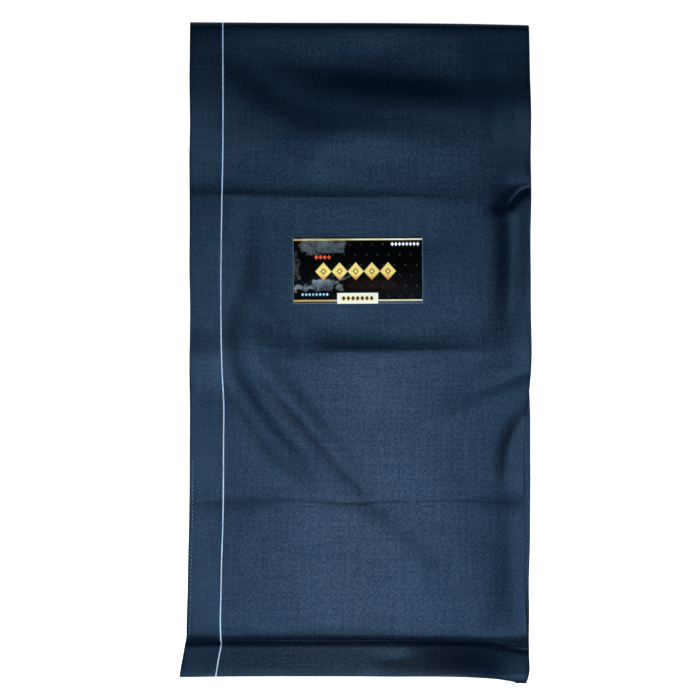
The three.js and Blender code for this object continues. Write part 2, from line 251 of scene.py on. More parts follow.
def smooth_route(route, spacing):
    """Evenly spaced points of a smooth line through a route's points."""
    p = np.array(route, float)
    p = np.vstack([2 * p[0] - p[1], p, 2 * p[-1] - p[-2]])
    t = np.linspace(0, 1, 8, endpoint=False)[:, None]
    spans = [
        0.5 * (2 * b + (c - a) * t + (2 * a - 5 * b + 4 * c - d) * t**2 + (3 * b - a - 3 * c + d) * t**3)
        for a, b, c, d in zip(p, p[1:], p[2:], p[3:])
    ]
    line = np.vstack(spans + [p[-2:-1]])
    run = np.concatenate([[0], np.cumsum(np.hypot(*np.diff(line[:, :2], axis=0).T))])
    places = np.linspace(0, run[-1], max(3, round(run[-1] / spacing)))
    return np.stack([np.interp(places, run, column) for column in line.T], axis=1)


def soft_fold(line, left, right, x, y):
    """A rounded trough: small hollows side by side along a line, which melt into one."""
    depth = np.zeros(x.shape)
    along = (left + right) / 2
    for (px, py, deep), (dx, dy) in zip(line, np.gradient(line[:, :2], axis=0)):
        pace = math.hypot(dx, dy)
        ahead = ((x - px) * dx + (y - py) * dy) / pace
        beside = ((y - py) * dx - (x - px) * dy) / pace
        spread = np.where(beside > 0, left, right)
        hollow = np.exp(-((ahead / along) ** 2) - (beside / spread) ** 2)
        depth += deep * pace / (along * math.sqrt(math.pi)) * hollow
    return depth


def sharp_fold(line, left, right, softness, x, y):
    """A crease, whose depth falls off with the distance from a line."""
    away, side, deep = np.full(x.shape, 1e9), np.zeros(x.shape), np.zeros(x.shape)
    for a, b in zip(line, line[1:]):
        dx, dy, dz = b - a
        t = np.clip(((x - a[0]) * dx + (y - a[1]) * dy) / (dx * dx + dy * dy), 0, 1)
        ox, oy = x - a[0] - t * dx, y - a[1] - t * dy
        distance = np.hypot(ox, oy)
        closer = distance < away
        away = np.where(closer, distance, away)
        side = np.where(closer, dx * oy - dy * ox, side)
        deep = np.where(closer, a[2] + t * dz, deep)
    return deep * np.exp(-((away / np.where(side > 0, left, right)) ** softness))


def fold_depth(folds, x, y):
    """Depth of a set of troughs and ridges at some places."""
    depth = np.zeros(x.shape)
    for _, left, right, softness, route in folds:
        soft = softness == 2
        line = smooth_route(route, min(left, right) / 2 if soft else 5)
        reach = max(left, right) * (2.7 if soft else 5)
        low, high = line[:, :2].min(axis=0) - reach, line[:, :2].max(axis=0) + reach
        near = (x > low[0]) & (x < high[0]) & (y > low[1]) & (y < high[1])
        if soft:
            depth[near] += soft_fold(line, left, right, x[near], y[near])
        else:
            depth[near] += sharp_fold(line, left, right, softness, x[near], y[near])
    return depth


def ripples(x, y, seed, wave, height, count=24):
    """Gentle unevenness: waves about as long as wave, in all directions."""
    rng = np.random.default_rng(seed)
    total = np.zeros(x.shape)
    for _ in range(count):
        angle = rng.uniform(0, math.tau)
        length = wave * rng.uniform(0.6, 1.8)
        phase = rng.uniform(0, math.tau)
        total += np.sin(math.tau / length * (x * math.cos(angle) + y * math.sin(angle)) + phase)
    return height * total / math.sqrt(count)


def wander(y, seed, height):
    """How far an edge strays from its line along its length."""
    return ripples(np.zeros(y.shape), y, seed, WAVE, height, count=6)


def face_top(x, y):
    """Top of the face sheet."""
    z = curve(FACE_HEIGHTS, "y", y, "z") - fold_depth(FACE_FOLDS, x, y)
    return z + ripples(x, y, SEED, WAVE, 0.1)


def lower_top(x, y):
    """Top of the lower half, which is the band in front of the step."""
    return curve(LOWER_HEIGHTS, "y", y, "z") - fold_depth(BAND_FOLDS, x, y)


def rear_edge(x):
    return curve(REAR_EDGE, "x", x, "y")


def step_edge(x):
    return curve(STEP_EDGE, "x", x, "y")


def front_edge(x):
    return curve(FRONT_EDGE, "x", x, "y")


# ---------------------------------------------------------------- the pile

UPPER, TURN, LOWER = 0, 1, 2


def pile_point(x, y, part, angle, share):
    """Places in the pile. share is the depth: 0 at the outermost ply and 1 at the innermost."""
    face = np.zeros(x.shape)
    upper = part != LOWER
    face[upper] = face_top(x[upper], y[upper])
    low = lower_top(x, y)
    ceiling = low + HALF_GAP
    upper_z = face + share * (ceiling - face)
    lower_z = share * low
    middle = low + HALF_GAP / 2
    reach = TURN_DEPTH * (1 - share) + HALF_GAP * share
    rise = np.where(angle > 0, upper_z - middle, middle - lower_z)
    turned_z = middle + np.sin(angle) * rise
    z = np.where(part == UPPER, upper_z, np.where(part == LOWER, lower_z, turned_z))
    turned_y = y + np.cos(angle) * reach
    return np.stack([x, np.where(part == TURN, turned_y, y), z], axis=-1)


def rim(radius, steps, backs):
    """Angles round an edge and how far the cloth then runs back under itself."""
    if radius == 0:
        return []
    turned = [(math.pi * i / steps, 0.0) for i in range(1, steps + 1)]
    return turned + [(math.pi, back) for back in backs]


def stops(start, end, spacing, places=(), fine=0.5, reach=4.5):
    """Shares of a length, evenly spaced but closer together near some places."""
    marks = list(np.linspace(start, end, max(2, 1 + round(abs(end - start) / spacing))))
    for place in places:
        marks += list(np.arange(place - reach, place + reach, fine))
    kept = [start]
    for mark in sorted(marks):
        if kept[-1] + 0.6 * fine <= mark <= end:
            kept.append(mark)
    kept[-1] = end
    return [(mark - start) / (end - start) for mark in kept]


def folded_sheet(
    name, left, right, ends, across, along_upper, along_lower, seed,
    share=0.0, inward=1, rims=(0.0, 0.0), lip=0.0,
):
    """One ply that runs from the upper half's front, round the rear turn, to the lower half's front.

    left and right give its sides at a place y in the upper or lower half, and ends its two
    front edges. rims are the radii of its side folds and lip that of its front folds, as
    shares of half the pile. across and along are shares of its width and of its length.
    inward is -1 for a ply that folds toward the outside of the pile.
    """
    left_rim, right_rim = (rim(r, 10, TUCKED) if r > 2 * PLY else rim(r, 4, ()) for r in rims)
    columns = (
        [(-1, 0.0, a, b) for a, b in reversed(left_rim)]
        + [(0, q, 0.0, 0.0) for q in across]
        + [(1, 1.0, a, b) for a, b in right_rim]
    )
    lips = rim(lip, 8, TUCKED)
    turn_angles = [math.pi * (0.5 - i / 20) for i in range(1, 20)]
    rows = (
        [(UPPER, 0.0, 0.0, a, b) for a, b in reversed(lips)]
        + [(UPPER, p, 0.0, 0.0, 0.0) for p in along_upper]
        + [(TURN, 1.0, angle, 0.0, 0.0) for angle in turn_angles]
        + [(LOWER, 1 - p, 0.0, 0.0, 0.0) for p in along_lower]
        + [(LOWER, 0.0, 0.0, a, b) for a, b in lips]
    )
    side, q, alpha, back = (np.array(c)[None, :] for c in zip(*columns))
    part, p, angle, beta, under = (np.array(r)[:, None] for r in zip(*rows))

    radius = np.where(side < 0, rims[0], np.where(side > 0, rims[1], 0.0))
    x_rough = left(np.zeros(1), UPPER) * (1 - q) + right(np.zeros(1), UPPER) * q + 0 * p
    front = np.where(part == LOWER, ends[1](x_rough), ends[0](x_rough)) + lip * PILE
    turn_y = rear_edge(x_rough) - TURN_DEPTH
    front_line = np.where(part == LOWER, FRONT_LINE, STEP_LINE)
    y = (
        front_line + p * (TURN_LINE - front_line)
        + (front - front_line) * (1 - p) ** STRAIGHTEN + (turn_y - TURN_LINE) * p**STRAIGHTEN
        - (lip * PILE * np.sin(beta) - under) + 0 * side
    )
    half = np.where(part == LOWER, LOWER, UPPER)
    low = left(y, half) + wander(y, seed + 1, STRAY) + rims[0] * PILE
    high = right(y, half) + wander(y, seed + 2, STRAY) - rims[1] * PILE
    x = low + q * (high - low) + side * (radius * PILE * np.sin(alpha) - back)
    # A folded side turns the lip over with it. A cut edge only ends it.
    folds = radius > 2 * PLY
    tuck = lip * (1 - np.cos(beta))
    x = x - side * np.where(folds, np.sin(alpha), 0) * tuck * PILE
    depth = radius * (1 - np.cos(alpha)) + np.where(folds, np.cos(alpha), 1) * tuck
    points = pile_point(x, y, part + 0 * side, angle + 0 * side, share + inward * depth)

    run = distance_along(points[:, points.shape[1] // 2])
    width = distance_along(points[len(points) // 3])
    uv = np.stack(np.broadcast_arrays(width[None, :], run[:, None]), axis=-1)
    stripe = np.where(
        part == LOWER, x - curve(BAND_STRIPE, "y", y, "x"), x - curve(FACE_STRIPE, "y", y, "x")
    )
    return grid_mesh(name, points, uv, flip=inward < 0, stripe=stripe)


def distance_along(line):
    """How far each point of a line is from its start, measured along the line."""
    return np.concatenate([[0], np.cumsum(np.linalg.norm(np.diff(line, axis=0), axis=1))])


def grid_mesh(name, points, uv, flip=False, **values):
    """A piece from a grid of points in millimetres, with its cloth coordinates and point values."""
    rows, columns = points.shape[:2]
    index = np.arange(rows * columns).reshape(rows, columns)
    quads = np.stack([index[:-1, :-1], index[:-1, 1:], index[1:, 1:], index[1:, :-1]], axis=-1)
    quads = quads.reshape(-1, 4)
    if flip:
        quads = quads[:, ::-1]
    mesh = bpy.data.meshes.new(name)
    mesh.from_pydata((points.reshape(-1, 3) * MM).tolist(), [], quads.tolist())
    corner = np.empty(len(mesh.loops), np.int32)
    mesh.loops.foreach_get("vertex_index", corner)
    layer = mesh.uv_layers.new(name="cloth")
    layer.data.foreach_set("uv", (uv.reshape(-1, 2)[corner] * MM).astype(np.float32).ravel())
    for key, value in values.items():
        attribute = mesh.attributes.new(key, "FLOAT", "POINT")
        spread = np.broadcast_to(value, (rows, columns))
        attribute.data.foreach_set("value", spread.astype(np.float32).ravel())
    mesh.polygons.foreach_set("use_smooth", np.ones(len(mesh.polygons), bool))
    mesh.update()
    piece = bpy.data.objects.new(name, mesh)
    bpy.context.scene.collection.objects.link(piece)
    return piece


def sides(which, inset_upper=0.0, inset_lower=0.0, column=None):
    """The left or right side of a sheet, as a function of the place along the pile and of its half."""
    sign = 1 if which == "left" else -1

    def side(y, half):
        upper = curve(UPPER_SIDES, "y", y, column or which) + sign * inset_upper
        lower = curve(LOWER_SIDES, "y", y, which) + sign * inset_lower
        return np.where(half == LOWER, lower, upper)

    return side


def strip_side(edge, width):
    """A line beside an edge, which bounds a narrow strip of cloth."""
    return lambda y, half: edge(y, half) + width


def set_back(edge, by):
    """An edge that lies behind another."""
    return lambda x: edge(x) + by


# ---------------------------------------------------------------- cloth pieces

# Rows and columns of the sheets: where the evenly spaced rows end, how far apart they are in
# a sheet that shows and in one that doesn't, and the creases near which they lie closer.
STEP_LINE, FRONT_LINE, TURN_LINE = -254.0, -285.0, 285.0
FINE, COARSE = 1.9, 7.0
CREASES = (137, 1, -131, -176, -250)
EVEN_UPPER = stops(STEP_LINE, TURN_LINE, COARSE)
EVEN_LOWER = stops(FRONT_LINE, TURN_LINE, COARSE)
STRIP = 16.0  # how much of a hidden ply is made, from its edge in
BAND_FROM = 0.8  # past this share of its way to the front, the band's sheet has finer rows
BAND_ROWS = stops(FRONT_LINE, TURN_LINE, COARSE)[1:]
BAND_ROWS = [p for p in BAND_ROWS if p < BAND_FROM] + list(np.linspace(BAND_FROM, 1, 95))

face_cloth = folded_sheet(
    "face_cloth",
    left=sides("left", 0, 1.0),
    right=sides("right", 0, 1.2, column="face"),
    ends=(step_edge, set_back(front_edge, 1.8)),
    rims=(PLY, FOLD),
    lip=LIP,
    across=stops(-146, 153, FINE),
    along_upper=stops(STEP_LINE, TURN_LINE, FINE, CREASES),
    along_lower=EVEN_LOWER[1:],
    seed=20,
)

second_ply = folded_sheet(
    "second_ply",
    left=sides("left", 1.1, 1.7),
    right=strip_side(sides("left", 1.1, 1.7), STRIP),
    ends=(set_back(step_edge, 0.9), set_back(front_edge, 2.6)),
    share=0.16,
    rims=(PLY, 0.0),
    across=stops(0, STRIP, 2),
    along_upper=stops(STEP_LINE, TURN_LINE, 3),
    along_lower=stops(FRONT_LINE, TURN_LINE, 3)[1:],
    seed=30,
)

middle_cloth = folded_sheet(
    "middle_cloth",
    left=sides("left", 1.4, 1.9),
    right=sides("right", 6, 6),
    ends=(set_back(step_edge, 1.6), set_back(front_edge, 0.9)),
    share=0.26,
    rims=(0.235, 0.0),
    lip=LIP,
    across=stops(-146, 153, 3),
    along_upper=stops(STEP_LINE, TURN_LINE, 3),
    along_lower=stops(FRONT_LINE, TURN_LINE, 4)[1:],
    seed=40,
)

third_cloth = folded_sheet(
    "third_cloth",
    left=sides("left", 5, 5),
    right=sides("right", 6, 6),
    ends=(set_back(step_edge, 2.6), set_back(front_edge, 1.7)),
    share=0.73,
    inward=-1,
    lip=LIP,
    across=stops(-146, 153, COARSE),
    along_upper=EVEN_UPPER,
    along_lower=EVEN_LOWER[1:],
    seed=50,
)

band_cloth = folded_sheet(
    "band_cloth",
    left=sides("left", 0.9, 0.0),
    right=sides("right", 0.3, 0.0),
    ends=(set_back(step_edge, 2.2), front_edge),
    share=1.0,
    inward=-1,
    rims=(PLY, FOLD),
    lip=LIP,
    across=stops(-146, 153, FINE),
    along_upper=EVEN_UPPER,
    along_lower=BAND_ROWS,
    seed=60,
)

inner_ply = folded_sheet(
    "inner_ply",
    left=sides("left", 1.9, 0.9),
    right=strip_side(sides("left", 1.9, 0.9), STRIP),
    ends=(set_back(step_edge, 2.8), set_back(front_edge, 0.8)),
    share=0.84,
    rims=(PLY, 0.0),
    across=stops(0, STRIP, 2),
    along_upper=stops(STEP_LINE, TURN_LINE, 3),
    along_lower=stops(FRONT_LINE, TURN_LINE, 3)[1:],
    seed=70,
)

WHOLE_PLIES = [face_cloth, middle_cloth, third_cloth, band_cloth]
STRIPS = [second_ply, inner_ply]
CLOTH = WHOLE_PLIES + STRIPS


# ---------------------------------------------------------------- node trees

class Nodes:
    """A node tree that is built by naming what goes in. Values and sockets both serve."""

    def __init__(self, tree):
        self.tree = tree

    def fill(self, node, inputs):
        """Link or set a node's inputs."""
        for key, value in inputs.items():
            if isinstance(value, bpy.types.NodeSocket):
                self.tree.links.new(value, node.inputs[key])
            else:
                node.inputs[key].default_value = value

    def add(self, kind, inputs=None, **settings):
        node = self.tree.nodes.new(kind)
        for key, value in settings.items():
            setattr(node, key, value)
        self.fill(node, inputs or {})
        return node

    def math(self, operation, *values, clamp=False):
        node = self.add("ShaderNodeMath", dict(enumerate(values)), operation=operation)
        node.use_clamp = clamp
        return node.outputs[0]

    def between(self, value, low, high):
        """0 below low and 1 above high, with a soft passage."""
        ends = {"Value": value, "From Min": low, "From Max": high}
        return self.add("ShaderNodeMapRange", ends, interpolation_type="SMOOTHSTEP").outputs["Result"]

    def band(self, value, low, high, soft):
        """1 from low to high and 0 outside, with soft ends."""
        past_high = self.math("SUBTRACT", 1.0, self.between(value, high - soft, high + soft))
        return self.math("MULTIPLY", self.between(value, low - soft, low + soft), past_high)

    def blend(self, share, first, second):
        """One colour passing into another."""
        return self.add("ShaderNodeMix", {"Factor": share, 6: first, 7: second}, data_type="RGBA").outputs[2]

    def group(self, tree, **inputs):
        return self.add("ShaderNodeGroup", inputs, node_tree=tree).outputs


# ---------------------------------------------------------------- selvage stitches

def stitch_line(name, edge, half, start, end, inset, height):
    """The line that a row of stitches follows, as a mesh of bare edges."""
    y = np.linspace(start, end, 90)
    x = edge(y, half) + inset + wander(y, 77, 0.12)
    z = height(x, y) + 0.05
    points = np.stack([x, y, z], axis=-1) * MM
    mesh = bpy.data.meshes.new(name)
    mesh.from_pydata(points.tolist(), [(i, i + 1) for i in range(len(points) - 1)], [])
    piece = bpy.data.objects.new(name, mesh)
    bpy.context.scene.collection.objects.link(piece)
    return piece


def stitch_tree():
    """Small stitches set along a line, a little uneven in place and in turn."""
    tree = bpy.data.node_groups.new("stitch_row", "GeometryNodeTree")
    face = tree.interface
    face.new_socket("Line", in_out="INPUT", socket_type="NodeSocketGeometry")
    for label, usual in (("Spacing", 0.0036), ("Length", 0.0021), ("Width", 0.0005), ("Strays", 0.0003)):
        face.new_socket(label, in_out="INPUT", socket_type="NodeSocketFloat").default_value = usual
    face.new_socket("Seed", in_out="INPUT", socket_type="NodeSocketInt").default_value = 3
    face.new_socket("Material", in_out="INPUT", socket_type="NodeSocketMaterial")
    face.new_socket("Stitches", in_out="OUTPUT", socket_type="NodeSocketGeometry")
    n = Nodes(tree)
    given = n.add("NodeGroupInput").outputs

    def drawn(low, high):
        """A random vector for each stitch."""
        node = n.add("FunctionNodeRandomValue", {"Min": low, "Max": high, "Seed": given["Seed"]},
                     data_type="FLOAT_VECTOR")
        return node.outputs["Value"]

    path = n.add("GeometryNodeMeshToCurve", {"Mesh": given["Line"]}).outputs["Curve"]
    spaced = n.add("GeometryNodeResampleCurve", {"Curve": path, "Length": given["Spacing"]}, mode="LENGTH")
    offset = n.add("ShaderNodeVectorMath", {0: drawn((-1, -1, 0), (1, 1, 0)), "Scale": given["Strays"]},
                   operation="SCALE")
    placed = n.add("GeometryNodeSetPosition", {
        "Geometry": spaced.outputs["Curve"], "Offset": offset.outputs["Vector"]})

    stitch = n.add("GeometryNodeMeshUVSphere", {"Segments": 6, "Rings": 5, "Radius": 0.5})
    thick = n.math("MULTIPLY", given["Width"], 0.5)
    size = n.add("ShaderNodeCombineXYZ", {"X": thick, "Y": given["Width"], "Z": given["Length"]})
    tangent = n.add("GeometryNodeInputTangent").outputs["Tangent"]
    along = n.add("FunctionNodeAlignRotationToVector", {"Vector": tangent}, axis="Z")
    lean = n.add("FunctionNodeEulerToRotation", {"Euler": drawn((-0.12, -0.12, -0.12), (0.12, 0.12, 0.12))})
    turned = n.add("FunctionNodeRotateRotation", {
        "Rotation": along.outputs["Rotation"], "Rotate By": lean.outputs["Rotation"]})

    row = n.add("GeometryNodeInstanceOnPoints", {
        "Points": placed.outputs["Geometry"], "Instance": stitch.outputs["Mesh"],
        "Rotation": turned.outputs["Rotation"], "Scale": size.outputs["Vector"]})
    real = n.add("GeometryNodeRealizeInstances", {"Geometry": row.outputs["Instances"]})
    painted = n.add("GeometryNodeSetMaterial", {
        "Geometry": real.outputs["Geometry"], "Material": given["Material"]})
    n.add("NodeGroupOutput", {"Stitches": painted.outputs["Geometry"]})
    return tree


def grow(line, tree, **inputs):
    """Runs a geometry tree on a piece and keeps the result as its plain mesh."""
    modifier = line.modifiers.new("grow", "NODES")
    modifier.node_group = tree
    for item in tree.interface.items_tree:
        if item.in_out == "INPUT" and item.name in inputs:
            modifier[item.identifier] = inputs[item.name]
    graph = bpy.context.evaluated_depsgraph_get()
    mesh = bpy.data.meshes.new_from_object(
        line.evaluated_get(graph), preserve_all_data_layers=True, depsgraph=graph)
    line.modifiers.remove(modifier)
    line.data = mesh
    mesh.name = line.name
    return line


# ---------------------------------------------------------------- sticker

# Wrinkles of the film, in its own plane, laid out like the face's folds.
FILM_FOLDS = [
    ("left roll", 12, 16, 2, [(-54, 30, 0.05), (-52, 8, 0.15), (-55, -12, 0.12), (-60, -28, 0.05)]),
    ("top wrinkle", 6, 7, 2, [(-46, 34, 0.05), (-36, 20, 0.12), (-26, 12, 0.05)]),
    ("long wrinkle", 5, 8, 2, [(-60, -20, 0.12), (-38, -14, 0.14), (-16, -6, 0.12), (6, 0, 0.05)]),
]


def make_label():
    across, along = 116, 58
    u, v = np.meshgrid(np.linspace(0, 1, across + 1), np.linspace(0, 1, along + 1))
    a, b = (u - 0.5) * LABEL["width"], (v - 0.5) * LABEL["height"]
    x = LABEL["x"] + a * math.cos(LABEL["turn"]) - b * math.sin(LABEL["turn"])
    y = LABEL["y"] + a * math.sin(LABEL["turn"]) + b * math.cos(LABEL["turn"])
    z = face_top(x, y) + LABEL["lift"] - fold_depth(FILM_FOLDS, a, b)
    top = np.stack([x, y, z + LABEL["thickness"]], axis=-1)
    piece = grid_mesh("sticker", top, np.stack([a, b], axis=-1))
    solid = piece.modifiers.new("thickness", "SOLIDIFY")
    solid.thickness = LABEL["thickness"] * MM
    solid.offset = -1
    return piece


sticker = make_label()


# ---------------------------------------------------------------- materials

def new_group(name, inputs, outputs):
    """A shader node group with named sockets, given as name and usual value."""
    tree = bpy.data.node_groups.new(name, "ShaderNodeTree")
    for label, usual in inputs.items():
        kind = "NodeSocketFloat" if isinstance(usual, float) else "NodeSocketVector"
        socket = tree.interface.new_socket(label, in_out="INPUT", socket_type=kind)
        if kind == "NodeSocketFloat":
            socket.default_value = usual
    for label in outputs:
        tree.interface.new_socket(label, in_out="OUTPUT", socket_type="NodeSocketFloat")
    nodes = Nodes(tree)
    return nodes, nodes.add("NodeGroupInput").outputs, nodes.add("NodeGroupOutput")


def plain_weave():
    """Warp and weft passing over and under each other. Height is 0 to 1."""
    n, given, made = new_group("plain_weave", {"Cloth": None, "Pitch": 0.00042}, ["Height", "Weft"])
    place = n.add("ShaderNodeSeparateXYZ", {"Vector": given["Cloth"]})
    turn = n.math("DIVIDE", math.pi, given["Pitch"])
    a = n.math("SINE", n.math("MULTIPLY", place.outputs["X"], turn))
    b = n.math("SINE", n.math("MULTIPLY", place.outputs["Y"], turn))
    over = n.math("MULTIPLY", n.math("MULTIPLY", a, b), 2.5)
    over = n.math("MINIMUM", n.math("MAXIMUM", over, -1.0), 1.0)
    warp = n.math("MULTIPLY", n.math("ABSOLUTE", a), n.math("MULTIPLY_ADD", over, 0.5, 0.5))
    weft = n.math("MULTIPLY", n.math("ABSOLUTE", b), n.math("MULTIPLY_ADD", over, -0.5, 0.5))
    n.fill(made, {"Height": n.math("MAXIMUM", warp, weft), "Weft": n.math("GREATER_THAN", weft, warp)})
    return n.tree


def uneven_yarns():
    """Thicker and thinner stretches of yarn along both directions of the cloth, about 0."""
    n, given, made = new_group("uneven_yarns", {"Cloth": None, "Width": 0.0012, "Length": 0.012}, ["Value"])
    across = n.math("DIVIDE", 1.0, given["Width"])
    along = n.math("DIVIDE", 1.0, given["Length"])
    total = None
    for first, second, seed in ((across, along, 3.0), (along, across, 8.0)):
        stretch = n.add("ShaderNodeCombineXYZ", {"X": first, "Y": second})
        place = n.add("ShaderNodeVectorMath", {0: given["Cloth"], 1: stretch.outputs[0]},
                      operation="MULTIPLY")
        noise = n.add("ShaderNodeTexNoise", {
            "Vector": place.outputs[0], "W": seed, "Scale": 1.0, "Detail": 1.0}, noise_dimensions="4D")
        value = n.math("SUBTRACT", n.between(noise.outputs[0], 0.28, 0.72), 0.5)
        total = value if total is None else n.math("ADD", total, value)
    n.fill(made, {"Value": total})
    return n.tree


def mottle():
    """Broad soft cloudiness about 0."""
    n, given, made = new_group("mottle", {"Place": None, "Size": 0.05}, ["Value"])
    noise = n.add("ShaderNodeTexNoise", {
        "Vector": given["Place"], "Scale": n.math("DIVIDE", 1.0, given["Size"]), "Detail": 2.0})
    n.fill(made, {"Value": n.math("SUBTRACT", noise.outputs[0], 0.5)})
    return n.tree


def lozenge_row():
    """A row of lozenges. Mask is 1 inside them, less a smaller lozenge that is left open."""
    n, given, made = new_group("lozenge_row", {
        "Place": None, "X": 0.0, "Y": 0.0, "Pitch": 10.0, "Count": 5.0, "Width": 6.0, "Height": 8.0,
        "Open": 0.0}, ["Mask"])
    place = n.add("ShaderNodeSeparateXYZ", {"Vector": given["Place"]})
    middle = n.math("MULTIPLY_ADD", given["Count"], -0.5, 0.5)
    step = n.math("DIVIDE", n.math("SUBTRACT", place.outputs["X"], given["X"]), given["Pitch"])
    step = n.math("SUBTRACT", step, middle)
    last = n.math("SUBTRACT", given["Count"], 1.0)
    nearest = n.math("MINIMUM", n.math("MAXIMUM", n.math("ROUND", step), 0.0), last)
    beside = n.math("MULTIPLY", n.math("ABSOLUTE", n.math("SUBTRACT", step, nearest)), given["Pitch"])
    above = n.math("ABSOLUTE", n.math("SUBTRACT", place.outputs["Y"], given["Y"]))
    reach = n.math("ADD", n.math("DIVIDE", beside, given["Width"]), n.math("DIVIDE", above, given["Height"]))
    reach = n.math("MULTIPLY", reach, 2.0)
    inside = n.math("SUBTRACT", 1.0, n.between(reach, 0.93, 1.07))
    opened = n.between(reach, n.math("SUBTRACT", given["Open"], 0.1), n.math("ADD", given["Open"], 0.02))
    n.fill(made, {"Mask": n.math("MULTIPLY", inside, opened)})
    return n.tree


def linear(red, green, blue):
    """A colour given as it looks on screen, from 0 to 255, as Blender's own values."""
    def one(c):
        c /= 255
        return c / 12.92 if c <= 0.04045 else ((c + 0.055) / 1.055) ** 2.4

    return (one(red), one(green), one(blue), 1)


def new_material(name):
    """A material, its node helper and its Principled surface."""
    material = bpy.data.materials.new(name)
    material.use_nodes = True
    nodes = Nodes(material.node_tree)
    return material, nodes, material.node_tree.nodes["Principled BSDF"]


WEAVE, YARNS, MOTTLE, LOZENGES = plain_weave(), uneven_yarns(), mottle(), lozenge_row()

NAVY = (0.00001, 0.0011, 0.0062, 1)
NAVY_LIGHT = (0.00005, 0.0027, 0.0102, 1)
STRIPE_PALE = (0.52, 0.65, 0.79, 1)
STRIPE_PAINTED_SHADE = (0.0001, 0.0015, 0.006, 1)  # painted shade: the dark lines that run beside the raised stripe
PITCH = 0.00042  # from one yarn to the next


def cloth_material():
    """Dark, smoothly pressed plain weave with a pale border stripe."""
    material, n, surface = new_material("navy_cloth")
    cloth = n.add("ShaderNodeUVMap", uv_map="cloth").outputs["UV"]
    place = n.add("ShaderNodeTexCoord").outputs["Object"]
    offset = n.add("ShaderNodeAttribute", attribute_name="stripe").outputs["Fac"]
    weave = n.group(WEAVE, Cloth=cloth, Pitch=PITCH)
    yarns = n.group(YARNS, Cloth=cloth, Width=0.0022, Length=0.05)["Value"]
    grain = n.group(YARNS, Cloth=cloth, Width=0.0009, Length=0.0026)["Value"]
    clouds = n.group(MOTTLE, Place=place, Size=0.06)["Value"]

    # Millimetres from the stripe's middle: the stripe, the painted shade beside it, and the border
    # between it and the selvage.
    away = n.math("ABSOLUTE", offset)
    stripe = n.math("SUBTRACT", 1.0, n.between(away, 0.38, 0.58))
    painted_shade_end = n.math("SUBTRACT", 1.0, n.between(away, 1.1, 1.8))
    painted_shade = n.math("MULTIPLY", n.between(away, 0.55, 0.8), painted_shade_end)
    border = n.math("SUBTRACT", 1.0, n.between(offset, -1.6, -0.8))
    rough_yarn = n.math("MULTIPLY_ADD", grain, 0.7, n.math("MULTIPLY", yarns, 0.35))

    tone = n.math("MULTIPLY_ADD", rough_yarn, 3.0, n.math("MULTIPLY", clouds, 0.8))
    tone = n.math("ADD", tone, n.math("MULTIPLY_ADD", border, 0.3, 0.35), clamp=True)
    colour = n.blend(tone, NAVY, NAVY_LIGHT)
    # Painted shade: the dark lines beside the raised stripe are painted into the colour.
    colour = n.blend(n.math("MULTIPLY", painted_shade, 0.5), colour, STRIPE_PAINTED_SHADE)
    bright = n.math("MULTIPLY_ADD", weave["Weft"], -0.12, 1.0)
    bright = n.math("MULTIPLY_ADD", rough_yarn, 0.6, bright, clamp=True)
    colour = n.blend(n.math("MULTIPLY", stripe, bright), colour, STRIPE_PALE)

    rough = n.math("MULTIPLY_ADD", rough_yarn, -0.04, 0.36)
    rough = n.math("MULTIPLY_ADD", border, -0.018, rough)
    rough = n.math("MULTIPLY_ADD", clouds, 0.03, rough)
    rough = n.math("MULTIPLY_ADD", stripe, 0.15, rough)
    # Thick stretches of yarn are pressed flatter and shine more than thin ones.
    pressed = n.math("MULTIPLY_ADD", yarns, 0.05, 0.063)
    pressed = n.math("MULTIPLY_ADD", grain, 0.165, pressed, clamp=True)
    pressed = n.math("MULTIPLY", pressed, n.math("SUBTRACT", 1.0, stripe))

    height = n.math("MULTIPLY_ADD", weave["Height"], 0.005, n.math("MULTIPLY", rough_yarn, 0.03))
    height = n.math("MULTIPLY_ADD", stripe, 0.03, height)
    bump = n.add("ShaderNodeBump", {"Height": height, "Distance": MM, "Strength": 1.0})
    n.fill(surface, {
        "Base Color": colour, "Roughness": rough, "Normal": bump.outputs["Normal"],
        "Coat Weight": pressed, "Coat Roughness": 0.36,
        "Specular Tint": (0.2, 0.46, 0.84, 1), "Specular IOR Level": 0.165,
        "Sheen Weight": 0.003, "Sheen Roughness": 0.45, "Sheen Tint": (0.6, 0.8, 1, 1),
    })
    return material


def thread_material():
    """Greyish thread."""
    material, n, surface = new_material("stitch_thread")
    place = n.add("ShaderNodeTexCoord").outputs["Object"]
    clouds = n.group(MOTTLE, Place=place, Size=0.002)["Value"]
    colour = n.blend(n.math("ADD", clouds, 0.5), linear(70, 84, 100), linear(120, 132, 146))
    n.fill(surface, {"Base Color": colour, "Roughness": 0.5})
    return material


# The sticker's print, in millimetres from its middle. The lozenges stand in rows, the small
# ones in one colour each.
BIG_ROW = {"X": -2.0, "Y": -0.7, "Pitch": 14.2, "Count": 5.0}
SMALL_ROWS = [
    ({"X": -31.0, "Y": 11.8, "Pitch": 3.7, "Count": 4.0, "Width": 3.4, "Height": 4.2}, (224, 84, 52)),
    ({"X": 41.5, "Y": 23.1, "Pitch": 3.2, "Count": 8.0, "Width": 2.9, "Height": 3.6}, (240, 243, 250)),
    ({"X": -38.0, "Y": -21.0, "Pitch": 3.1, "Count": 8.0, "Width": 2.6, "Height": 2.8}, (150, 200, 226)),
]
TAB_ROW = {"X": -0.4, "Y": -24.4, "Pitch": 4.1, "Count": 7.0, "Width": 3.3, "Height": 4.4}
RULES = [(26.5, 28.1), (-27.2, -25.6)]  # lower and upper edge of each gold rule
DOT_PITCH, DOT_ROWS = 9.78, 9.15  # faint dots, each second row set over by half a pitch

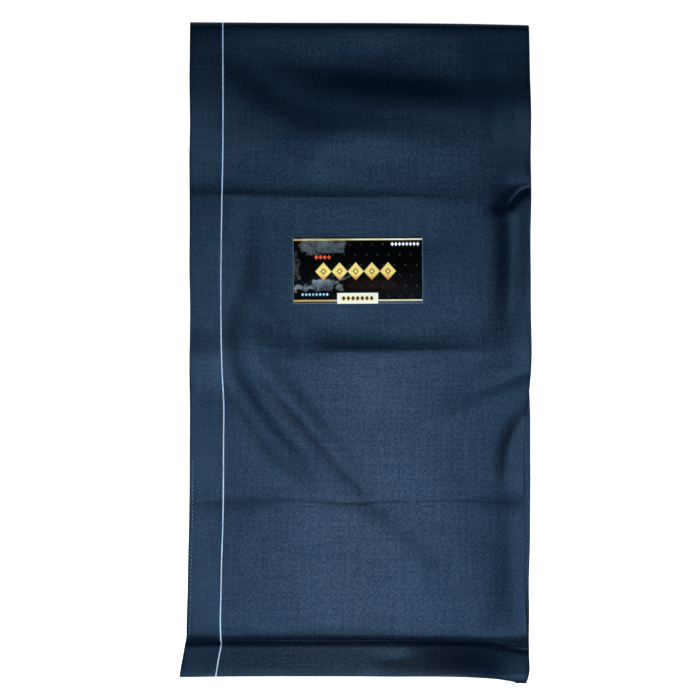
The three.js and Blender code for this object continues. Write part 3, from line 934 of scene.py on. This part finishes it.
# Patches where the film touches the weave: from and to along the sticker and how soft these
# ends are, the same across it, and how bright the patch is. The first set lies level with the
# sticker, and the second along a wrinkle that slants across it.
TOUCHING = [
    ((-48, -12, 2.5), (15.5, 27, 2.2), 1.0),
    ((-60, -52, 1.8), (-8, 17, 3.5), 0.3),
    ((-40, -22, 2.5), (-18, -10, 2.0), 0.4),
    ((-18.5, -14, 1.2), (-17, -12, 1.4), 1.0),
]
TOUCHING_WRINKLE = [
    ((-58, -19, 3.0), (-2.8, 1.2, 1.2), 1.0),
    ((-22, 6, 5.0), (-1.4, 1.4, 0.9), 0.5),
]


def film_ground(n, a, b):
    """Near-black with a warm glow low down and rows of faint dots."""
    glow = n.math("MULTIPLY", n.band(a, -10, 36, 22), n.band(b, -16, -9, 6))
    colour = n.blend(glow, linear(2, 2, 3), linear(30, 15, 9))
    line = n.math("DIVIDE", n.math("SUBTRACT", b, 23.0), DOT_ROWS)
    shift = n.math("MULTIPLY", n.math("FLOORED_MODULO", n.math("ROUND", line), 2.0), 0.5)
    step = n.math("ADD", n.math("DIVIDE", n.math("ADD", a, 7.1), DOT_PITCH), shift)
    off_x = n.math("MULTIPLY", n.math("SUBTRACT", step, n.math("ROUND", step)), DOT_PITCH)
    off_y = n.math("MULTIPLY", n.math("SUBTRACT", line, n.math("ROUND", line)), DOT_ROWS)
    away = n.math("SQRT", n.math("MULTIPLY_ADD", off_x, off_x, n.math("MULTIPLY", off_y, off_y)))
    dots = n.math("MULTIPLY", n.math("SUBTRACT", 1.0, n.between(away, 0.5, 1.05)), n.between(a, -60, 20))
    return n.blend(dots, colour, linear(52, 50, 50))


def film_print(n, place, a, b, uneven):
    """The print: lozenges in plain rows, gold rules with a painted highlight along their middles and a cream
    tab, inside a clear edge.
    """
    def row(**sizes):
        return n.group(LOZENGES, Place=place, **sizes)["Mask"]

    colour = film_ground(n, a, b)
    gold, orange = linear(255, 222, 128), linear(226, 128, 52)
    big = row(Width=14.0, Height=15.5, Open=0.42, **BIG_ROW)
    small = row(Width=3.4, Height=3.8, **BIG_ROW)
    colour = n.blend(n.math("MAXIMUM", big, small), colour, n.blend(n.between(b, -9, -2), orange, gold))
    for sizes, ink in SMALL_ROWS:
        colour = n.blend(row(**sizes), colour, linear(*ink))

    # Painted highlight: each gold rule's middle is painted cream-white, full on the right and fading out
    # towards the left.
    painted_highlight = n.math("MULTIPLY_ADD", uneven, 1.4, 0.85)
    painted_highlight = n.math("MULTIPLY", n.between(a, -34, 12), painted_highlight, clamp=True)
    for low, high in RULES:
        core = n.band(b, low + 0.45, high - 0.35, 0.3)
        gold_and_painted_highlight = n.blend(n.math("MULTIPLY", core, painted_highlight), linear(196, 160, 92), linear(255, 253, 236))
        colour = n.blend(n.band(b, low, high, 0.15), colour, gold_and_painted_highlight)

    tab_top = n.math("SUBTRACT", 1.0, n.between(b, -19.9, -19.6))
    tab = n.math("MULTIPLY", n.band(a, -18.4, 17.6, 0.2), tab_top)
    inner = n.math("MULTIPLY", n.band(a, -15.5, 14.5, 1.5), n.band(b, -26.5, -22.5, 1.2))
    colour = n.blend(tab, colour, n.blend(inner, linear(252, 250, 232), linear(255, 228, 160)))
    colour = n.blend(row(**TAB_ROW), colour, linear(66, 34, 30))

    inside = n.math("MAXIMUM", tab, n.between(b, -28.7, -28.3))
    inside = n.math("MULTIPLY", n.band(a, -56.6, 56.6, 0.2), inside)
    return n.blend(inside, linear(74, 92, 112), colour)


def film_touching(n, a, b, uneven, ragged):
    """1 where the film touches the cloth, and less where it is clear of it."""
    stray = n.math("MULTIPLY_ADD", uneven, 22.0, n.math("MULTIPLY", ragged, 12.0))
    wavy_a, wavy_b = n.math("ADD", a, stray), n.math("SUBTRACT", b, n.math("MULTIPLY", stray, 0.6))
    slanted = n.math("SUBTRACT", wavy_b, n.math("MULTIPLY_ADD", wavy_a, 0.24, -2.6))
    touching = 0.0
    for across, patches in ((wavy_b, TOUCHING), (slanted, TOUCHING_WRINKLE)):
        for along_ends, across_ends, strength in patches:
            patch = n.math("MULTIPLY", n.band(wavy_a, *along_ends), n.band(across, *across_ends))
            touching = n.math("MAXIMUM", touching, n.math("MULTIPLY", patch, strength))
    return touching


def film_material():
    """A glossy printed film, hazy where it touches the cloth."""
    material, n, surface = new_material("sticker_film")
    uv = n.add("ShaderNodeUVMap", uv_map="cloth").outputs["UV"]
    place = n.add("ShaderNodeVectorMath", {0: uv, "Scale": 1 / MM}, operation="SCALE").outputs[0]
    parts = n.add("ShaderNodeSeparateXYZ", {"Vector": place})
    a, b = parts.outputs["X"], parts.outputs["Y"]
    uneven = n.group(MOTTLE, Place=uv, Size=0.016)["Value"]
    ragged = n.group(MOTTLE, Place=uv, Size=0.007)["Value"]

    # Where the film touches the cloth, the weave presses through it as fine ridges.
    touching = film_touching(n, a, b, uneven, ragged)
    weave = n.group(YARNS, Cloth=uv, Width=0.0009, Length=0.006)["Value"]
    ridges = n.math("MULTIPLY", n.math("MULTIPLY", weave, touching), 0.08)
    height = n.math("MULTIPLY_ADD", uneven, 0.03, ridges)
    bump = n.add("ShaderNodeBump", {"Height": height, "Distance": MM, "Strength": 1.0})
    hazy = n.math("MULTIPLY_ADD", ragged, 1.8, 0.38)
    hazy = n.math("MULTIPLY_ADD", weave, 0.3, hazy, clamp=True)
    n.fill(surface, {
        "Base Color": film_print(n, place, a, b, uneven), "Normal": bump.outputs["Normal"],
        "Roughness": n.math("MULTIPLY_ADD", touching, 0.06, 0.08),
        "Coat Weight": n.math("MULTIPLY", hazy, touching), "Coat Roughness": 0.34,
        "Specular Tint": (0.72, 0.9, 1, 1), "Specular IOR Level": 0.13,
    })
    return material


navy_cloth = cloth_material()
sticker_film = film_material()
stitch_thread = thread_material()
for piece in CLOTH:
    piece.data.materials.append(navy_cloth)
sticker.data.materials.append(sticker_film)

selvage_stitches = stitch_line(
    "selvage_stitches", sides("left", 0, 1.0), UPPER, start=-251, end=-96, inset=2.8, height=face_top)
grow(selvage_stitches, stitch_tree(), Material=stitch_thread, Spacing=0.0036, Strays=0.00025, Seed=5)


# ---------------------------------------------------------------- stage, light and camera

FLOOR_REACH, FLOOR_TOP = 6.0, -0.0004  # metres, here and below

# Plain windows all round: place, and width and height.
WINDOWS = {
    "left_window": ((-2.2, 0.2, 1.2), (1.2, 1.2)),
    "right_window": ((2.2, -0.2, 1.2), (1.2, 1.2)),
    "front_window": ((0, -2.4, 1.0), (1.2, 1.0)),
    "rear_window": ((0, 2.4, 1.0), (1.2, 1.0)),
}

CAMERA_HEIGHT, FRAME_WIDTH = 3.0, 0.616  # above the cloth, and how much of the floor it takes in


def make_stage():
    """A plain pale floor."""
    mesh = bpy.data.meshes.new("floor")
    corners = [(-1, -1), (1, -1), (1, 1), (-1, 1)]
    corners = [(x * FLOOR_REACH, y * FLOOR_REACH, FLOOR_TOP) for x, y in corners]
    mesh.from_pydata(corners, [], [(0, 1, 2, 3)])
    floor = bpy.data.objects.new("floor", mesh)
    bpy.context.scene.collection.objects.link(floor)
    material, n, surface = new_material("pale_floor")
    n.fill(surface, {
        "Base Color": (0.92, 0.92, 0.92, 1), "Roughness": 0.9,
        "Emission Color": (1, 1, 1, 1), "Emission Strength": 0.7,
    })
    mesh.materials.append(material)


def area_light(name, place, target, size, power, color, spread=180):
    """A soft rectangular lamp that the camera doesn't see."""
    light = bpy.data.lights.new(name, "AREA")
    light.shape = "RECTANGLE"
    light.size, light.size_y = size
    light.energy = power
    light.color = color
    light.spread = math.radians(spread)
    lamp = bpy.data.objects.new(name, light)
    lamp.location = place
    lamp.visible_camera = False
    lamp.rotation_mode = "QUATERNION"
    lamp.rotation_quaternion = (Vector(target) - Vector(place)).to_track_quat("-Z", "Y")
    bpy.context.scene.collection.objects.link(lamp)


def make_light():
    """A lamp high over the front, a low warm strip over the cloth's middle, and the room."""
    area_light("main_box", (0.03, -0.49, 4.0), (-0.01, -0.15, 0), (0.5, 0.5), 2.1, (0.8, 1, 1.12), spread=26)
    area_light("front_strip", (-0.004, -0.18, 0.42), (-0.004, -0.18, 0), (0.03, 0.30), 0.36, (1, 0.62, 0.4))
    for name, (place, size) in WINDOWS.items():
        area_light(name, place, (0, 0, 0), size, 5, (0.5, 0.82, 1))
    # The room has pale walls and a dim ceiling.
    world = bpy.data.worlds.new("room")
    world.use_nodes = True
    n = Nodes(world.node_tree)
    direction = n.add("ShaderNodeTexCoord").outputs["Generated"]
    up = n.add("ShaderNodeSeparateXYZ", {"Vector": direction}).outputs["Z"]
    strength = n.math("MULTIPLY_ADD", n.between(up, 0.9, 0.55), 0.42, 0.03)
    n.fill(world.node_tree.nodes["Background"], {"Color": (0.9, 0.95, 1, 1), "Strength": strength})
    bpy.context.scene.world = world


def make_camera():
    """A long lens that looks straight down."""
    camera = bpy.data.cameras.new("camera")
    camera.type = "PERSP"
    camera.sensor_width = 36
    camera.lens = camera.sensor_width * CAMERA_HEIGHT / FRAME_WIDTH
    shot = bpy.data.objects.new("camera", camera)
    shot.location = (-0.0047, 0.0025, CAMERA_HEIGHT + 0.0095)
    bpy.context.scene.collection.objects.link(shot)
    bpy.context.scene.camera = shot
    bpy.context.scene.view_settings.view_transform = "Standard"


make_stage()
make_light()
make_camera()


# ---------------------------------------------------------------- the frame

for piece in CLOTH + [sticker, selvage_stitches]:
    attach(piece, "root")
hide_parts("face_sheet", "rear_fold", "under_sheet")
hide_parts("hidden_layers")
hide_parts("band_sheet")
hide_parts("label")
